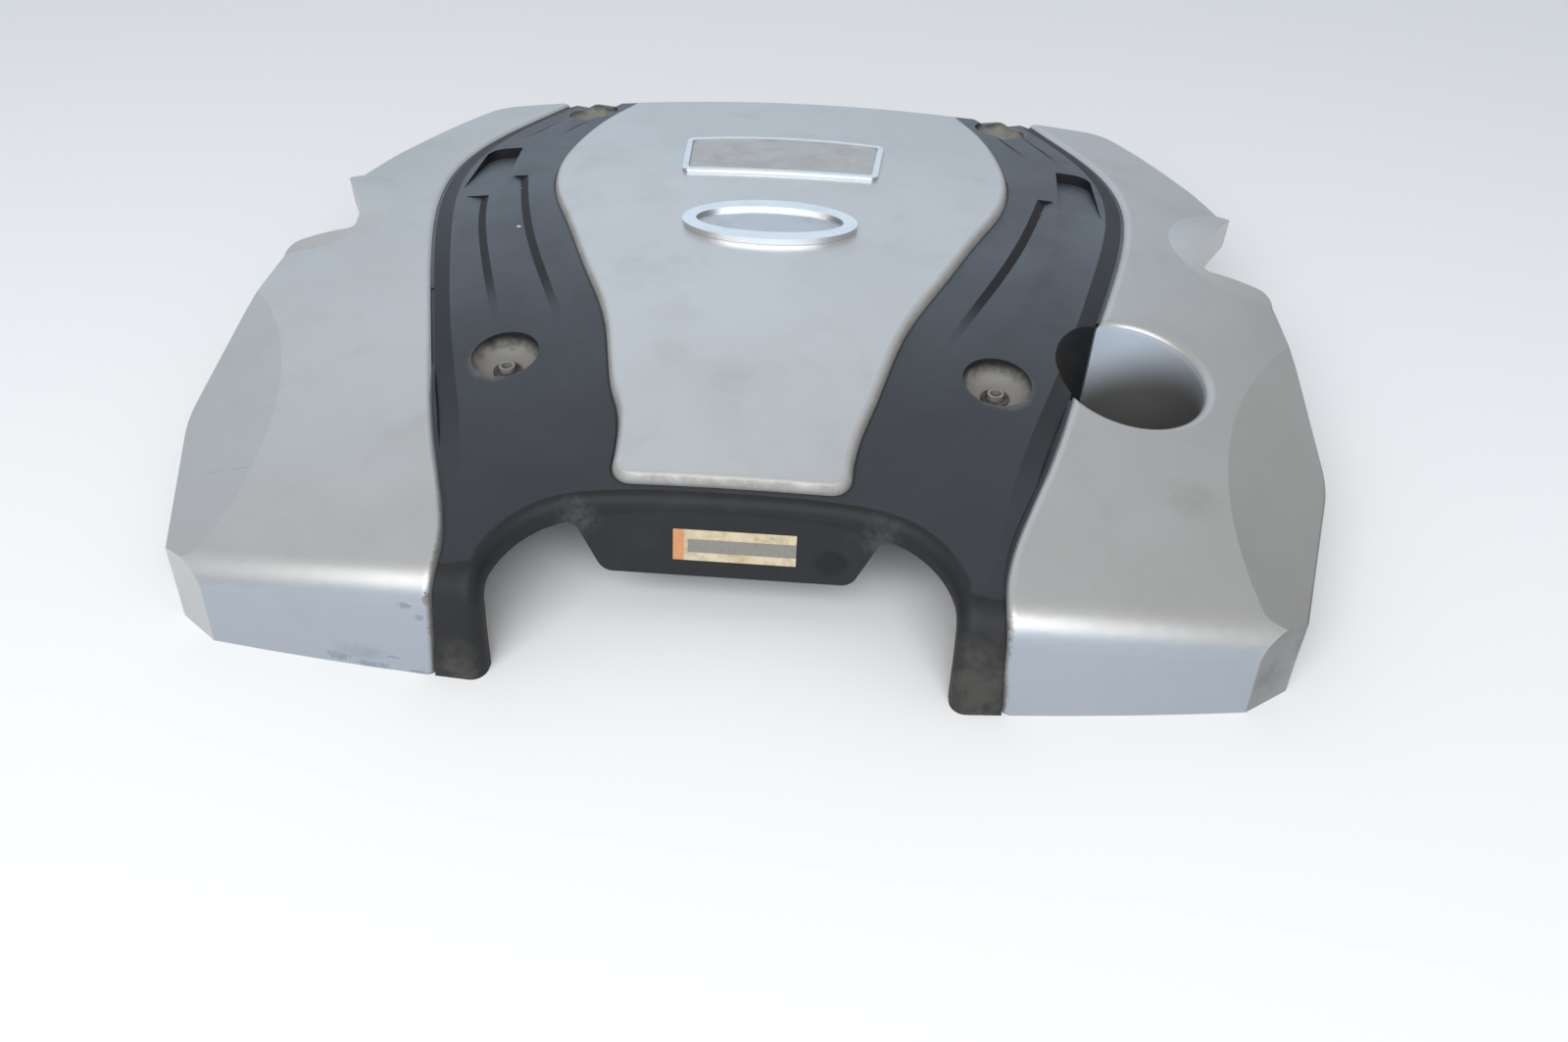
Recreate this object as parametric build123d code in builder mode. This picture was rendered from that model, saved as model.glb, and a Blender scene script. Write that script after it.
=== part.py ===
"""Engine cover: a moulded black base that carries two painted side panels and a raised centre panel.

Millimetres, +Z up, the front (the side with the two legs and the arch) towards -Y, +X to the right.
The origin is under the middle of the cover, on the surface that the legs and columns stand on.
Places along the cover are given as shares of its length, so that they move together when it changes.
"""
import functools
import math
import os

from build123d import *

# Overall size and crown
WIDTH = 648.0  # across the widest place of the two side panels
LENGTH = 560.0  # from the front hem to the rear edge
TOP_RISE = 101.0  # height of the base's skin at its highest point, on the centre line
PEAK_SHARE = 0.62  # where along the length that point lies
CROSS_CROWN_R = 1900.0  # crown across the cover
LONG_CROWN_R = 1360.0  # crown along the cover
FRONT_LEAN = 13.0  # degrees that the front face leans back
FRONT_BOW_R = 1900.0  # bow of the front face, seen from above
FRONT_BEND_R = 24.0  # bend from the top into the front face
FAN = 12.0  # half angle of the working solids, degrees
TALL = 150.0  # height of the working solids above the origin, and as deep again below it

# Walls and gaps
BASE_WALL = 4.0
BASE_FLANGE = 12.0  # turned-down edge of the base
PANEL_WALL = 2.5
PANEL_HEM = 15.0  # turned-down edge of the side panels
PANEL_EDGE_R = 2.0  # rounding of the side panels' outer edges
SEAM_EDGE_R = 5.0  # rounding of their edges along the seam and round the well
SEAM_GAP = 1.2  # open joint between the base and a side panel
SEAT_GAP = 0.3  # between a panel and the ledge or skin under it
GLUE_GAP = 0.1  # between a badge piece and the panel it is stuck on
LEDGE_WIDTH = 16.0  # ledge of the base that carries a side panel along its seam
LEDGE_WALL = 2.5

# Black base: seam, legs, arch and apron
SEAM_FOOT_X = 145.0
SEAM_WAIST_X = 139.0
SEAM_BULGE_X = 236.5
SEAM_REAR_X = 186.0
SEAM_SLOPE_WIDTH = 11.5  # the strip falls towards the seam over this width
SEAM_SLOPE_DROP = 2.6
REAR_STEP = 11.0  # the base ends this far short of the side panels
LEG_INNER_X = 120.0
LEG_WAIST_X = 117.5
ARCH_DEPTH = 67.0  # from the front hem back to the middle of the arch
ARCH_SHOULDER = 25.0  # the arch turns over this width into the leg
ARCH_LIP_R = 8.0
APRON_TOP_HALF = 90.0
APRON_FLARE_HALF = 79.0  # the apron's sides turn out to the arch here
APRON_FLARE_DROP = 10.0
APRON_FLARE_R = 6.0
APRON_BOTTOM_HALF = 65.0
APRON_BOTTOM_Z = 31.0
APRON_LEAN = 20.0
APRON_CORNER_R = 9.0
APRON_WALL = 3.0

# Raised centre panel
CENTRE_RISE = 5.0
CENTRE_WALL = 2.5
CENTRE_EDGE_R = 5.0
CENTRE_RECESS = 1.0  # depth of the base's recess round it
CENTRE_FRONT_X = 62.5
CENTRE_WIDE_X = 157.0
CENTRE_REAR_X = 127.0
CENTRE_FRONT_INSET = 77.0  # from the front hem
CENTRE_REAR_INSET = 27.0  # from the rear edge
CENTRE_REAR_BOW = 3.0
CENTRE_CORNER_R = 11.0

# Side panels
CORNER_X = 266.0  # foot of the crease at the front corner
CORNER_TURN = 35.0  # plan angle of the corner facet, degrees
CORNER_LEAN = 10.0
CORNER_CUT = 44.0  # the front corner lies this far in from the widest place
HEM_BEND_SHARE = 0.06  # where the hem bends towards that corner
HEM_BEND_CUT = 33.88  # that bend lies this far in from the widest place
CREASE_X = 268.0
CREASE_START = 40.0  # from the front hem
CREASE_RUN = 110.0
FLANK_FALL = 17.0  # degrees that the flank falls outward
TAIL_TAPER = 78.0  # the rear corner lies this far in from the widest place
NOTCH_SHARE = 0.629
NOTCH_DEPTH = 43.0  # from the widest place
NOTCH_TIP = 12.0  # the tip behind the notch lies this far in from the widest place
NOTCH_WIDTH = 51.0  # from the shoulder in front of the notch to its middle
NOTCH_R = 30.0  # bend in the middle of the notch
NOTCH_CORNER_R = 7.0
TIP_R = 4.0
SHOULDER_R = 13.0
TAIL_CORNER_R = 24.0
TAIL_EASE_R = 150.0  # slow bends of the tail's edge
FLANK_EASE_R = 300.0  # slow bend at the widest place
FLANK_CORNER_R = 90.0
HEM_CORNER_R = 60.0
DOME_R = 50.0  # plan radius of the raised dome round each notch
DOME_RISE = 8.0
TAB_LENGTH = 16.0  # clip tab under the right-hand hem
TAB_WALL = 2.5
TAB_SHARE = 0.138
TAB_BOTTOM_Z = 23.0
TAB_SLIT = 3.0
TAB_TURN = 17.8  # plan angle of the hem there, degrees

# Pleats and scoops of the two strips
PLEAT_DROP = 2.4
PLEAT_SLOPE_WIDTH = 5.5
# Stations of each right-hand pleat: x, share of the length, share of the drop, reach of its run-out
INNER_PLEAT = [
    (106, 0.334, 0.1, 30),
    (120, 0.395, 0.4, 30),
    (136, 0.46, 0.75, 28),
    (153, 0.536, 1, 26),
    (178, 0.69, 1, 11),
]
OUTER_PLEAT = [
    (147, 0.35, 0.1, 22),
    (160, 0.41, 0.45, 22),
    (175, 0.484, 0.8, 22),
    (190, 0.568, 1, 20),
    (198, 0.635, 1, 18),
]
REAR_PLEATS = [
    [(176, 0.8125, 0.05, 20), (165, 0.861, 0.5, 20), (152, 0.921, 0.9, 20), (140, 1.0, 1, 20)],
    [(199, 0.8125, 0.05, 17), (189, 0.861, 0.5, 17), (175, 0.921, 0.9, 17), (162, 1.0, 1, 17)],
]
SEAM_SLOPE_FADE = [0.15, 0.4, 0.9]  # the slope at the seam grows over the first stations behind the waist
SCOOP_X = 191.0  # inner edge
SCOOP_WIDTH = 29.0
SCOOP_SHARE = 0.659  # front edge
SCOOP_LENGTH = 72.0
SCOOP_TAPER = 5.0
SCOOP_CORNER_R = 12.0
SCOOP_DEPTH = 7.5

# Pockets and the filler well
POCKET_R = 19.5
POCKET_DEPTH = 12.0
POCKET_DISH_R = 11.0
POCKET_WALL = 2.5
FRONT_POCKET_X = 140.0
FRONT_POCKET_SHARE = 0.307
REAR_POCKET_X = 161.0
REAR_POCKET_INSET = 34.0  # from the rear edge
WELL_X = 218.0
WELL_SHARE = 0.352
WELL_R = 43.5
WELL_WALL = 2.5
WELL_BOTTOM_Z = 8.0

# Mounting columns, sleeves and grommets
COLUMN_TOP_R = 13.0
COLUMN_FOOT_R = 10.5
GUSSET_WALL = 2.0
GUSSET_SHARE = 0.7  # of the column's height
SLEEVE_R = 4.6
SLEEVE_BORE_R = 3.3
SLEEVE_STAND = 4.0  # above the pocket's floor
GROMMET_R = 8.0
GROMMET_HEIGHT = 6.0
GROMMET_STAND = 1.2
FIT_GAP = 0.2

# Badge plate, plaque and paper label
BADGE_FRONT_HALF = 67.0
BADGE_REAR_HALF = 70.5
BADGE_SHARE = 0.671  # front edge
BADGE_DEPTH = 58.0
BADGE_BOW = 5.0
BADGE_CORNER_R = 5.0
BADGE_RIM = 4.0
BADGE_RISE = 2.4
BADGE_FACE_RISE = 1.2
PLAQUE_WIDTH = 112.0
PLAQUE_DEPTH = 50.0
PLAQUE_SHARE = 0.543
PLAQUE_RIM = 9.0
PLAQUE_RISE = 4.0
PLAQUE_FACE_RISE = 1.6
LABEL_WIDTH = 64.0
LABEL_HEIGHT = 17.0
LABEL_THICK = 0.3
LABEL_X = 4.0

# Ribs under the base and heat stakes that hold the panels
RIB_WALL = 2.0
RIB_DEPTH = 9.0
RIB_PITCH = 88.0
RIB_ROWS = 5
RIB_INNER_X = 48.0
RIB_OUTER_X = 104.0
STAKE_R = 2.5
STAKE_GAP = 0.3
STAKE_HEAD_R = 4.2
STAKE_HEAD = 1.6
STAKE_SLACK = 0.3
# x and share of the length of the right-hand stakes that hold the centre panel
CENTRE_STAKE_PLACES = [(30, 0.225), (70, 0.42), (125, 0.63), (125, 0.786), (80, 0.9)]

FRONT = -LENGTH / 2
REAR = LENGTH / 2
HALF = WIDTH / 2
FRONT_Y = FRONT - LEG_INNER_X**2 / (2 * FRONT_BOW_R)  # foremost line of the bowed front face


def at(share):
    """Y of a place at this share of the length."""
    return FRONT + share * LENGTH


PEAK_Y = at(PEAK_SHARE)


def skin_z(x, y):
    """Height of the crowned skin over a plan point."""
    ring = CROSS_CROWN_R - LONG_CROWN_R + math.sqrt(LONG_CROWN_R**2 - (y - PEAK_Y) ** 2)
    return TOP_RISE - CROSS_CROWN_R + math.sqrt(ring**2 - x**2)


@functools.cache
def crowned_block(drop):
    """Solid under the crowned top and behind the front face, all faces moved inward by drop."""
    turn = math.radians(FAN)
    lean = math.radians(FRONT_LEAN)
    crown_z = TOP_RISE - CROSS_CROWN_R
    crown_plane = Plane((0, 0, crown_z), x_dir=(0, 1, 0), z_dir=(math.cos(turn), 0, math.sin(turn)))
    bow_y = FRONT_Y + FRONT_BOW_R
    bow_out = (-math.sin(turn), -math.cos(turn), 0)
    bow_plane = Plane((0, bow_y, 0), x_dir=bow_out, z_dir=(-math.cos(turn), math.sin(turn), 0))
    ends = (at(-0.1), at(1.1))
    arc_r = LONG_CROWN_R - drop
    end_r = [CROSS_CROWN_R - LONG_CROWN_R + math.sqrt(arc_r**2 - (y - PEAK_Y) ** 2) for y in ends]
    floor_r = -TALL - crown_z
    face_r = FRONT_BOW_R - drop / math.cos(lean)
    foot_r = face_r + TALL * math.tan(lean)
    head_r = face_r - TALL * math.tan(lean)
    core_r = FRONT_BOW_R - 2 * LENGTH
    with BuildPart() as block:
        with BuildSketch(crown_plane):
            with BuildLine():
                ThreePointArc((ends[0], end_r[0]), (PEAK_Y, CROSS_CROWN_R - drop), (ends[1], end_r[1]))
                Polyline((ends[1], end_r[1]), (ends[1], floor_r), (ends[0], floor_r), (ends[0], end_r[0]))
            make_face()
        revolve(axis=Axis((0, 0, crown_z), (0, 1, 0)), revolution_arc=2 * FAN)
        with BuildSketch(bow_plane):
            with BuildLine():
                Polyline((foot_r, -TALL), (head_r, TALL), (core_r, TALL), (core_r, -TALL), close=True)
            make_face()
        revolve(axis=Axis((0, bow_y, 0), (0, 0, 1)), revolution_arc=2 * FAN, mode=Mode.INTERSECT)
        bend = block.edges().sort_by_distance((0, FRONT_Y + FRONT_BEND_R / 2, skin_z(0, FRONT_Y)))[0]
        fillet(bend, FRONT_BEND_R - drop)
    return block.part


def mirrored(points):
    """The same plan points on the left, in the opposite order."""
    return [(-x, y) for x, y in reversed(points)]


def prism(plan, low=0.0):
    """Tall prism over a plan sketch."""
    with BuildPart() as column:
        with BuildSketch(Plane.XY.offset(low)):
            add(plan)
        extrude(amount=TALL - low)
    return column.part


def trimmed(block, plan, low=0.0):
    """A working block cut to a plan."""
    column = prism(plan, low)
    with BuildPart() as piece:
        add(block)
        add(column, mode=Mode.INTERSECT)
    return piece.part


def layer(plan, top, bottom):
    """The slab over a plan between the crowned skin moved in by top and by bottom."""
    with BuildPart() as slab:
        add(trimmed(crowned_block(top), plan))
        add(crowned_block(bottom), mode=Mode.SUBTRACT)
    return slab.part


def both_sides(shape):
    """A right-hand solid together with its mirror image."""
    with BuildPart() as pair:
        add(shape)
        mirror(about=Plane.YZ)
    return pair.part


def seam_points(shift):
    """Plan points of the right-hand seam from front to rear, moved outward by shift."""
    run = SEAM_BULGE_X - SEAM_WAIST_X
    points = [
        (SEAM_FOOT_X, at(0.0)),
        (SEAM_WAIST_X, at(0.045)),
        (SEAM_WAIST_X + 0.19 * run, at(0.17)),
        (SEAM_WAIST_X + 0.46 * run, at(0.316)),
        (SEAM_WAIST_X + 0.77 * run, at(0.496)),
        (SEAM_WAIST_X + 0.965 * run, at(0.64)),
        (SEAM_BULGE_X, at(0.71)),
        (SEAM_WAIST_X + 0.9 * run, at(0.82)),
        (SEAM_WAIST_X + 0.67 * run, at(0.917)),
        (SEAM_REAR_X, at(1.0)),
    ]
    return [(x + shift, y) for x, y in points]


def base_plan(inset):
    """Plan of the black base, all edges moved inward by inset."""
    seam = seam_points(-SEAM_GAP / 2 - inset)
    foot_x, foot_y = seam[0]
    rear_x, rear_y = seam[-1]
    over = at(-0.1)
    leg = LEG_INNER_X + inset
    arch_y = FRONT + ARCH_DEPTH + inset
    arch = [
        (LEG_WAIST_X + inset, FRONT + 0.2 * ARCH_DEPTH),
        (LEG_WAIST_X - 0.24 * ARCH_SHOULDER + inset, arch_y - 0.4 * ARCH_DEPTH),
        (LEG_WAIST_X - ARCH_SHOULDER + inset, arch_y - 0.13 * ARCH_DEPTH),
        (LEG_WAIST_X - 2.3 * ARCH_SHOULDER, arch_y - 0.02 * ARCH_DEPTH),
        (0, arch_y),
    ]
    arch_whole = arch + mirrored(arch)[1:]
    with BuildSketch() as plan:
        with BuildLine():
            Spline(*seam)
            Polyline((rear_x, rear_y), (-rear_x, rear_y))
            Spline(*mirrored(seam))
            Polyline((-foot_x, foot_y), (-foot_x, over), (-leg, over), arch_whole[-1])
            Spline(*arch_whole)
            Polyline(arch_whole[0], (leg, over), (foot_x, over), (foot_x, foot_y))
        make_face()
        with Locations((0, REAR - REAR_STEP - inset)):
            Rectangle(WIDTH, LENGTH, align=(Align.CENTER, Align.MIN), mode=Mode.SUBTRACT)
    return plan.sketch


def side_plan(inset, seam_shift):
    """Plan of the right-hand side panel; its outer edge moves in by inset, its seam edge by seam_shift."""
    half = HALF - inset
    tip = HALF - NOTCH_TIP - inset
    deep = HALF - NOTCH_DEPTH - inset
    notch_y = at(NOTCH_SHARE)
    shoulder_y = notch_y - NOTCH_WIDTH - inset
    seam = seam_points(SEAM_GAP / 2 + seam_shift)
    over = at(-0.1)
    corners = [
        ((half - TAIL_TAPER, REAR), TAIL_CORNER_R),
        ((half - 0.72 * TAIL_TAPER, at(0.92)), TAIL_EASE_R),
        ((half - 0.33 * TAIL_TAPER, at(0.796)), TAIL_EASE_R),
        ((tip + 2, notch_y + 0.88 * NOTCH_WIDTH), TIP_R),
        ((deep + 2, notch_y - 0.27 * NOTCH_WIDTH), NOTCH_R),
        ((deep, notch_y - 0.67 * NOTCH_WIDTH - inset), NOTCH_CORNER_R),
        ((half - 3, shoulder_y), SHOULDER_R),
        ((half, at(0.41)), FLANK_EASE_R),
        ((half, at(0.25)), FLANK_CORNER_R),
        ((half - HEM_BEND_CUT, at(HEM_BEND_SHARE)), HEM_CORNER_R),
        ((half - CORNER_CUT, over), TIP_R),
    ]
    outline = [seam[-1], *[point for point, radius in corners], (seam[0][0], over)]
    with BuildSketch() as plan:
        with BuildLine():
            Spline(*seam)
            FilletPolyline(*outline, radius=[radius for point, radius in corners])
            Line((seam[0][0], over), seam[0])
        make_face()
        with Locations((0, REAR - inset)):
            Rectangle(2 * WIDTH, LENGTH, align=(Align.CENTER, Align.MIN), mode=Mode.SUBTRACT)
    return plan.sketch


def corner_planes(drop):
    """Outward planes of the corner facet and of the flank behind it, moved inward by drop."""
    turn = math.radians(CORNER_TURN)
    lean = math.radians(CORNER_LEAN)
    foot_y = FRONT_Y + CORNER_X**2 / (2 * FRONT_BOW_R)
    facet_out = Vector(math.sin(turn) * math.cos(lean), -math.cos(turn) * math.cos(lean), math.sin(lean))
    facet = Plane(Vector(CORNER_X, foot_y, 0) - facet_out * drop, z_dir=facet_out)
    start_y = FRONT + CREASE_START
    end_y = start_y + CREASE_RUN
    start = Vector(CREASE_X, start_y, skin_z(CREASE_X, start_y))
    end = Vector(CREASE_X, end_y, skin_z(CREASE_X, end_y))
    fall = math.radians(FLANK_FALL)
    flank_out = Vector(math.cos(fall), 0, -math.sin(fall)).cross(end - start).normalized()
    flank = Plane(start - flank_out * drop, z_dir=flank_out)
    return facet, flank


def cornered_block(drop):
    """The crowned block with the facet and the flank of the right-hand panel cut on it."""
    with BuildPart() as block:
        add(crowned_block(drop))
        for plane in corner_planes(drop):
            split(bisect_by=plane, keep=Keep.BOTTOM)
    return block.part


def dome(drop):
    """Ball whose cap is the raised dome round the right-hand notch, moved inward by drop."""
    x = HALF - (NOTCH_DEPTH + NOTCH_TIP) / 2
    y = at(NOTCH_SHARE)
    ball_r = (DOME_R**2 + DOME_RISE**2) / (2 * DOME_RISE)
    with BuildPart() as ball:
        with Locations((x, y, skin_z(x, y) + DOME_RISE - ball_r)):
            Sphere(ball_r - drop)
    return ball.part


def rim_edges(block, along_seam):
    """Upper edges of a side panel's upright walls: those at the seam and the well, or the outer ones."""
    edges = []
    for wall in block.faces().filter_by(lambda face: abs(face.normal_at().Z) < 0.02):
        spot = wall.position_at(0.5, 0.5)
        seam = wall.geom_type == GeomType.EXTRUSION
        well = math.isclose(math.dist((spot.X, spot.Y), WELL), WELL_R, abs_tol=0.01)
        if seam and along_seam:
            curved = wall.edges().filter_by(GeomType.BSPLINE)
            upper = [edge for edge in curved if edge.center().Z > PANEL_HEM]
            edges += [edge for edge in upper if edge.bounding_box().size.Y > SEAM_EDGE_R]
        elif (seam or well) == along_seam:
            edges.append(wall.edges().sort_by(Axis.Z)[-1])
    return edges


def wedge(line, slope, drop):
    """Cutter for one pleat along its stations (x, y, share of the drop, reach), flush again at x + reach."""
    lift = 4 * drop
    with BuildPart() as cutter:
        for x, y, share, reach in line:
            crest_z = skin_z(x, y)
            foot = (x + slope, skin_z(x + slope, y) - share * drop)
            end = (x + reach, skin_z(x + reach, y) + 0.1 * drop)
            lid = [(end[0], end[1] + lift), (x, crest_z + lift)]
            with BuildSketch(Plane((0, y, 0), x_dir=(1, 0, 0), z_dir=(0, -1, 0))):
                with BuildLine():
                    Polyline((x, crest_z), foot, end, *lid, close=True)
                make_face()
        loft()
    return cutter.part


def pleats():
    """Cutters of the right-hand strip: two long pleats, two short rear ones and the slope at the seam."""
    cutters = []
    for line in (INNER_PLEAT, OUTER_PLEAT, *REAR_PLEATS):
        stations = [(x, at(share), depth, reach) for x, share, depth, reach in line]
        cutters.append(wedge(stations, PLEAT_SLOPE_WIDTH, PLEAT_DROP))
    crest_line = seam_points(-SEAM_SLOPE_WIDTH)[1:]
    fade = SEAM_SLOPE_FADE + [1.0] * len(crest_line)
    reach = SEAM_SLOPE_WIDTH + SEAM_GAP
    seam = [(x, y, share, reach) for (x, y), share in zip(crest_line, fade)]
    cutters.append(wedge(seam, SEAM_SLOPE_WIDTH, SEAM_SLOPE_DROP))
    return cutters


def centre_plan(grow):
    """Plan of the raised centre panel, grown outward."""
    front = FRONT + CENTRE_FRONT_INSET - grow
    rear = REAR - CENTRE_REAR_INSET + grow
    corner = CENTRE_CORNER_R
    front_x = CENTRE_FRONT_X + grow
    wide = CENTRE_WIDE_X - CENTRE_FRONT_X
    side = [
        (front_x, front + corner),
        (front_x + 0.11 * wide, at(0.255)),
        (front_x + 0.26 * wide, at(0.357)),
        (front_x + 0.5 * wide, at(0.455)),
        (front_x + 0.76 * wide, at(0.561)),
        (front_x + 0.93 * wide, at(0.632)),
        (CENTRE_WIDE_X + grow, at(0.711)),
        (front_x + 0.96 * wide, at(0.786)),
        (front_x + 0.85 * wide, at(0.871)),
        (CENTRE_REAR_X + grow, rear),
    ]
    left = mirrored(side)
    with BuildSketch() as plan:
        with BuildLine():
            Line((corner - front_x, front), (front_x - corner, front))
            TangentArc((front_x - corner, front), side[0], tangent=(1, 0))
            Spline(*side, tangents=[(0, 1), (-0.33, 1)])
            ThreePointArc(side[-1], (0, rear + CENTRE_REAR_BOW), left[0])
            Spline(*left, tangents=[(-0.33, -1), (0, -1)])
            TangentArc(left[-1], (corner - front_x, front), tangent=(0, -1))
        make_face()
    return plan.sketch


def scoop_plan(grow):
    """Plan of the right-hand scoop, grown outward."""
    front = at(SCOOP_SHARE) - grow
    rear = at(SCOOP_SHARE) + SCOOP_LENGTH + grow
    inner = SCOOP_X - grow
    outer = SCOOP_X + SCOOP_WIDTH + grow
    with BuildSketch() as plan:
        with BuildLine():
            Polyline((inner, front), (outer, front), (outer, rear), (inner + SCOOP_TAPER, rear), close=True)
        make_face()
        fillet(plan.vertices().group_by(Axis.Y)[-1].sort_by(Axis.X)[-1], SCOOP_CORNER_R)
    return plan.sketch


def scoop_ramp(drop):
    """The crowned block tipped down at the rear, as the scoops' floors lie."""
    hinge = Axis((0, at(SCOOP_SHARE), skin_z(SCOOP_X, at(SCOOP_SHARE))), (1, 0, 0))
    tip = math.degrees(math.atan(SCOOP_DEPTH / SCOOP_LENGTH))
    return crowned_block(drop).rotate(hinge, -tip)


WELL = (WELL_X, at(WELL_SHARE))


def ledge():
    """The ledge under the right-hand seam, left out round the filler well."""
    inner = seam_points(-SEAM_GAP / 2 - BASE_WALL / 2)
    outer = seam_points(LEDGE_WIDTH)
    with BuildSketch() as plan:
        with BuildLine():
            Spline(*inner)
            Line(inner[-1], outer[-1])
            Spline(*reversed(outer))
            Line(outer[0], inner[0])
        make_face()
        with Locations((0, REAR - REAR_STEP)):
            Rectangle(2 * WIDTH, LENGTH, align=(Align.CENTER, Align.MIN), mode=Mode.SUBTRACT)
        with Locations(WELL):
            Circle(WELL_R + WELL_WALL + SEAM_GAP, mode=Mode.SUBTRACT)
    return layer(plan.sketch, PANEL_WALL + SEAT_GAP, PANEL_WALL + SEAT_GAP + LEDGE_WALL)


def well_wall(block):
    """The part of the filler well's plug that lies within a block; a bored block leaves only the wall."""
    with BuildPart() as wall:
        with BuildSketch(Plane.XY.offset(WELL_BOTTOM_Z)):
            with Locations(WELL):
                Circle(WELL_R + WELL_WALL)
        extrude(amount=TALL)
        add(block, mode=Mode.INTERSECT)
    return wall.part


def well_bore():
    """The open middle of the filler well."""
    with BuildPart() as bore:
        with Locations((*WELL, 0)):
            Cylinder(WELL_R, 2 * TALL)
    return bore.part


POCKETS = {}
pocket_places = {
    "front": (FRONT_POCKET_X, at(FRONT_POCKET_SHARE)),
    "rear": (REAR_POCKET_X, REAR - REAR_POCKET_INSET),
}
for end, (x, y) in pocket_places.items():
    POCKETS[f"{end}_right"] = (x, y, skin_z(x, y) - POCKET_DEPTH)
    POCKETS[f"{end}_left"] = (-x, y, skin_z(x, y) - POCKET_DEPTH)


def pocket_bodies(block):
    """The four pockets and their columns with gussets, solid before the dishes and bores are cut."""
    upward = (Align.CENTER, Align.CENTER, Align.MIN)
    with BuildPart() as bodies:
        for x, y, floor_z in POCKETS.values():
            under_z = floor_z - POCKET_WALL
            with Locations((x, y, under_z)):
                Cylinder(POCKET_R + POCKET_WALL, TALL, align=upward)
            with Locations((x, y, 0)):
                Cone(COLUMN_FOOT_R, COLUMN_TOP_R, under_z, align=upward)
            reach = GUSSET_SHARE * under_z
            for turn in (math.radians(45), math.radians(135)):
                along = (math.cos(turn), math.sin(turn), 0)
                out = (math.sin(turn), -math.cos(turn), 0)
                with BuildSketch(Plane((x, y, under_z), x_dir=along, z_dir=out)):
                    with BuildLine():
                        Polyline((-POCKET_R, 0), (POCKET_R, 0), (0, -reach), close=True)
                    make_face()
                extrude(amount=GUSSET_WALL / 2, both=True)
        add(block, mode=Mode.INTERSECT)
    return bodies.part


def pocket_cuts():
    """Dishes of the four pockets with the grommet seats and the sleeve bores."""
    bore = SLEEVE_R + FIT_GAP
    seat = GROMMET_R + FIT_GAP
    flat = POCKET_R - POCKET_DISH_R
    with BuildPart() as cuts:
        for x, y, floor_z in POCKETS.values():
            seat_z = floor_z + GROMMET_STAND - GROMMET_HEIGHT
            dish_z = floor_z + POCKET_DISH_R
            with BuildSketch(Plane((x, y, 0), x_dir=(1, 0, 0), z_dir=(0, -1, 0))):
                with BuildLine():
                    Polyline((0, -TALL), (bore, -TALL), (bore, seat_z), (seat, seat_z), (seat, floor_z))
                    Line((seat, floor_z), (flat, floor_z))
                    CenterArc((flat, dish_z), POCKET_DISH_R, 270, 90)
                    Polyline((POCKET_R, dish_z), (POCKET_R, TALL), (0, TALL), (0, -TALL))
                make_face()
            revolve(axis=Axis((x, y, 0), (0, 0, 1)))
    return cuts.part


well_clear = WELL_R + WELL_WALL + 2 * STAKE_HEAD_R
ledge_middle = [(x + LEDGE_WIDTH / 2, y) for x, y in seam_points(0)[2:9]]
SIDE_STAKES = [place for place in ledge_middle if math.dist(place, WELL) > well_clear]
CENTRE_STAKES = [(x, at(share)) for x, share in CENTRE_STAKE_PLACES]


def stakes(points, top, under):
    """Heat stakes that hang from a panel at the plan points, each with its flattened head below."""
    upward = (Align.CENTER, Align.CENTER, Align.MIN)
    with BuildPart() as pins:
        for x, y in points:
            slope = STAKE_HEAD_R * (x / CROSS_CROWN_R + abs(y - PEAK_Y) / LONG_CROWN_R)
            head_z = skin_z(x, y) - under - slope - STAKE_SLACK - STAKE_HEAD
            with Locations((x, y, head_z)):
                Cylinder(STAKE_R, skin_z(x, y) - top - head_z, align=upward)
                Cylinder(STAKE_HEAD_R, STAKE_HEAD, align=upward)
    return pins.part


def stake_holes(points):
    """Clearance holes for the heat stakes."""
    with BuildPart() as holes:
        with Locations(*[(x, y, 0) for x, y in points]):
            Cylinder(STAKE_R + STAKE_GAP, 2 * TALL)
    return holes.part


def ribs():
    """Stiffening ribs under the skin of the base."""
    with BuildPart() as grid:
        with BuildSketch():
            for x in (RIB_INNER_X, RIB_OUTER_X):
                with Locations((x, 0), (-x, 0)):
                    Rectangle(RIB_WALL, LENGTH)
            with GridLocations(1, RIB_PITCH, 1, RIB_ROWS):
                Rectangle(WIDTH, RIB_WALL)
        extrude(amount=TALL)
        add(trimmed(crowned_block(BASE_WALL / 2), base_plan(BASE_WALL / 2)), mode=Mode.INTERSECT)
        add(crowned_block(BASE_WALL + RIB_DEPTH), mode=Mode.SUBTRACT)
    return grid.part


apron_lean = math.radians(APRON_LEAN)
apron_top = Vector(0, FRONT + ARCH_DEPTH, skin_z(0, FRONT + ARCH_DEPTH) - ARCH_LIP_R)
apron_drop = (apron_top.Z - APRON_BOTTOM_Z) / math.cos(apron_lean)
APRON_FACE = Plane(apron_top, x_dir=(1, 0, 0), z_dir=(0, -math.cos(apron_lean), math.sin(apron_lean)))


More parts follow.
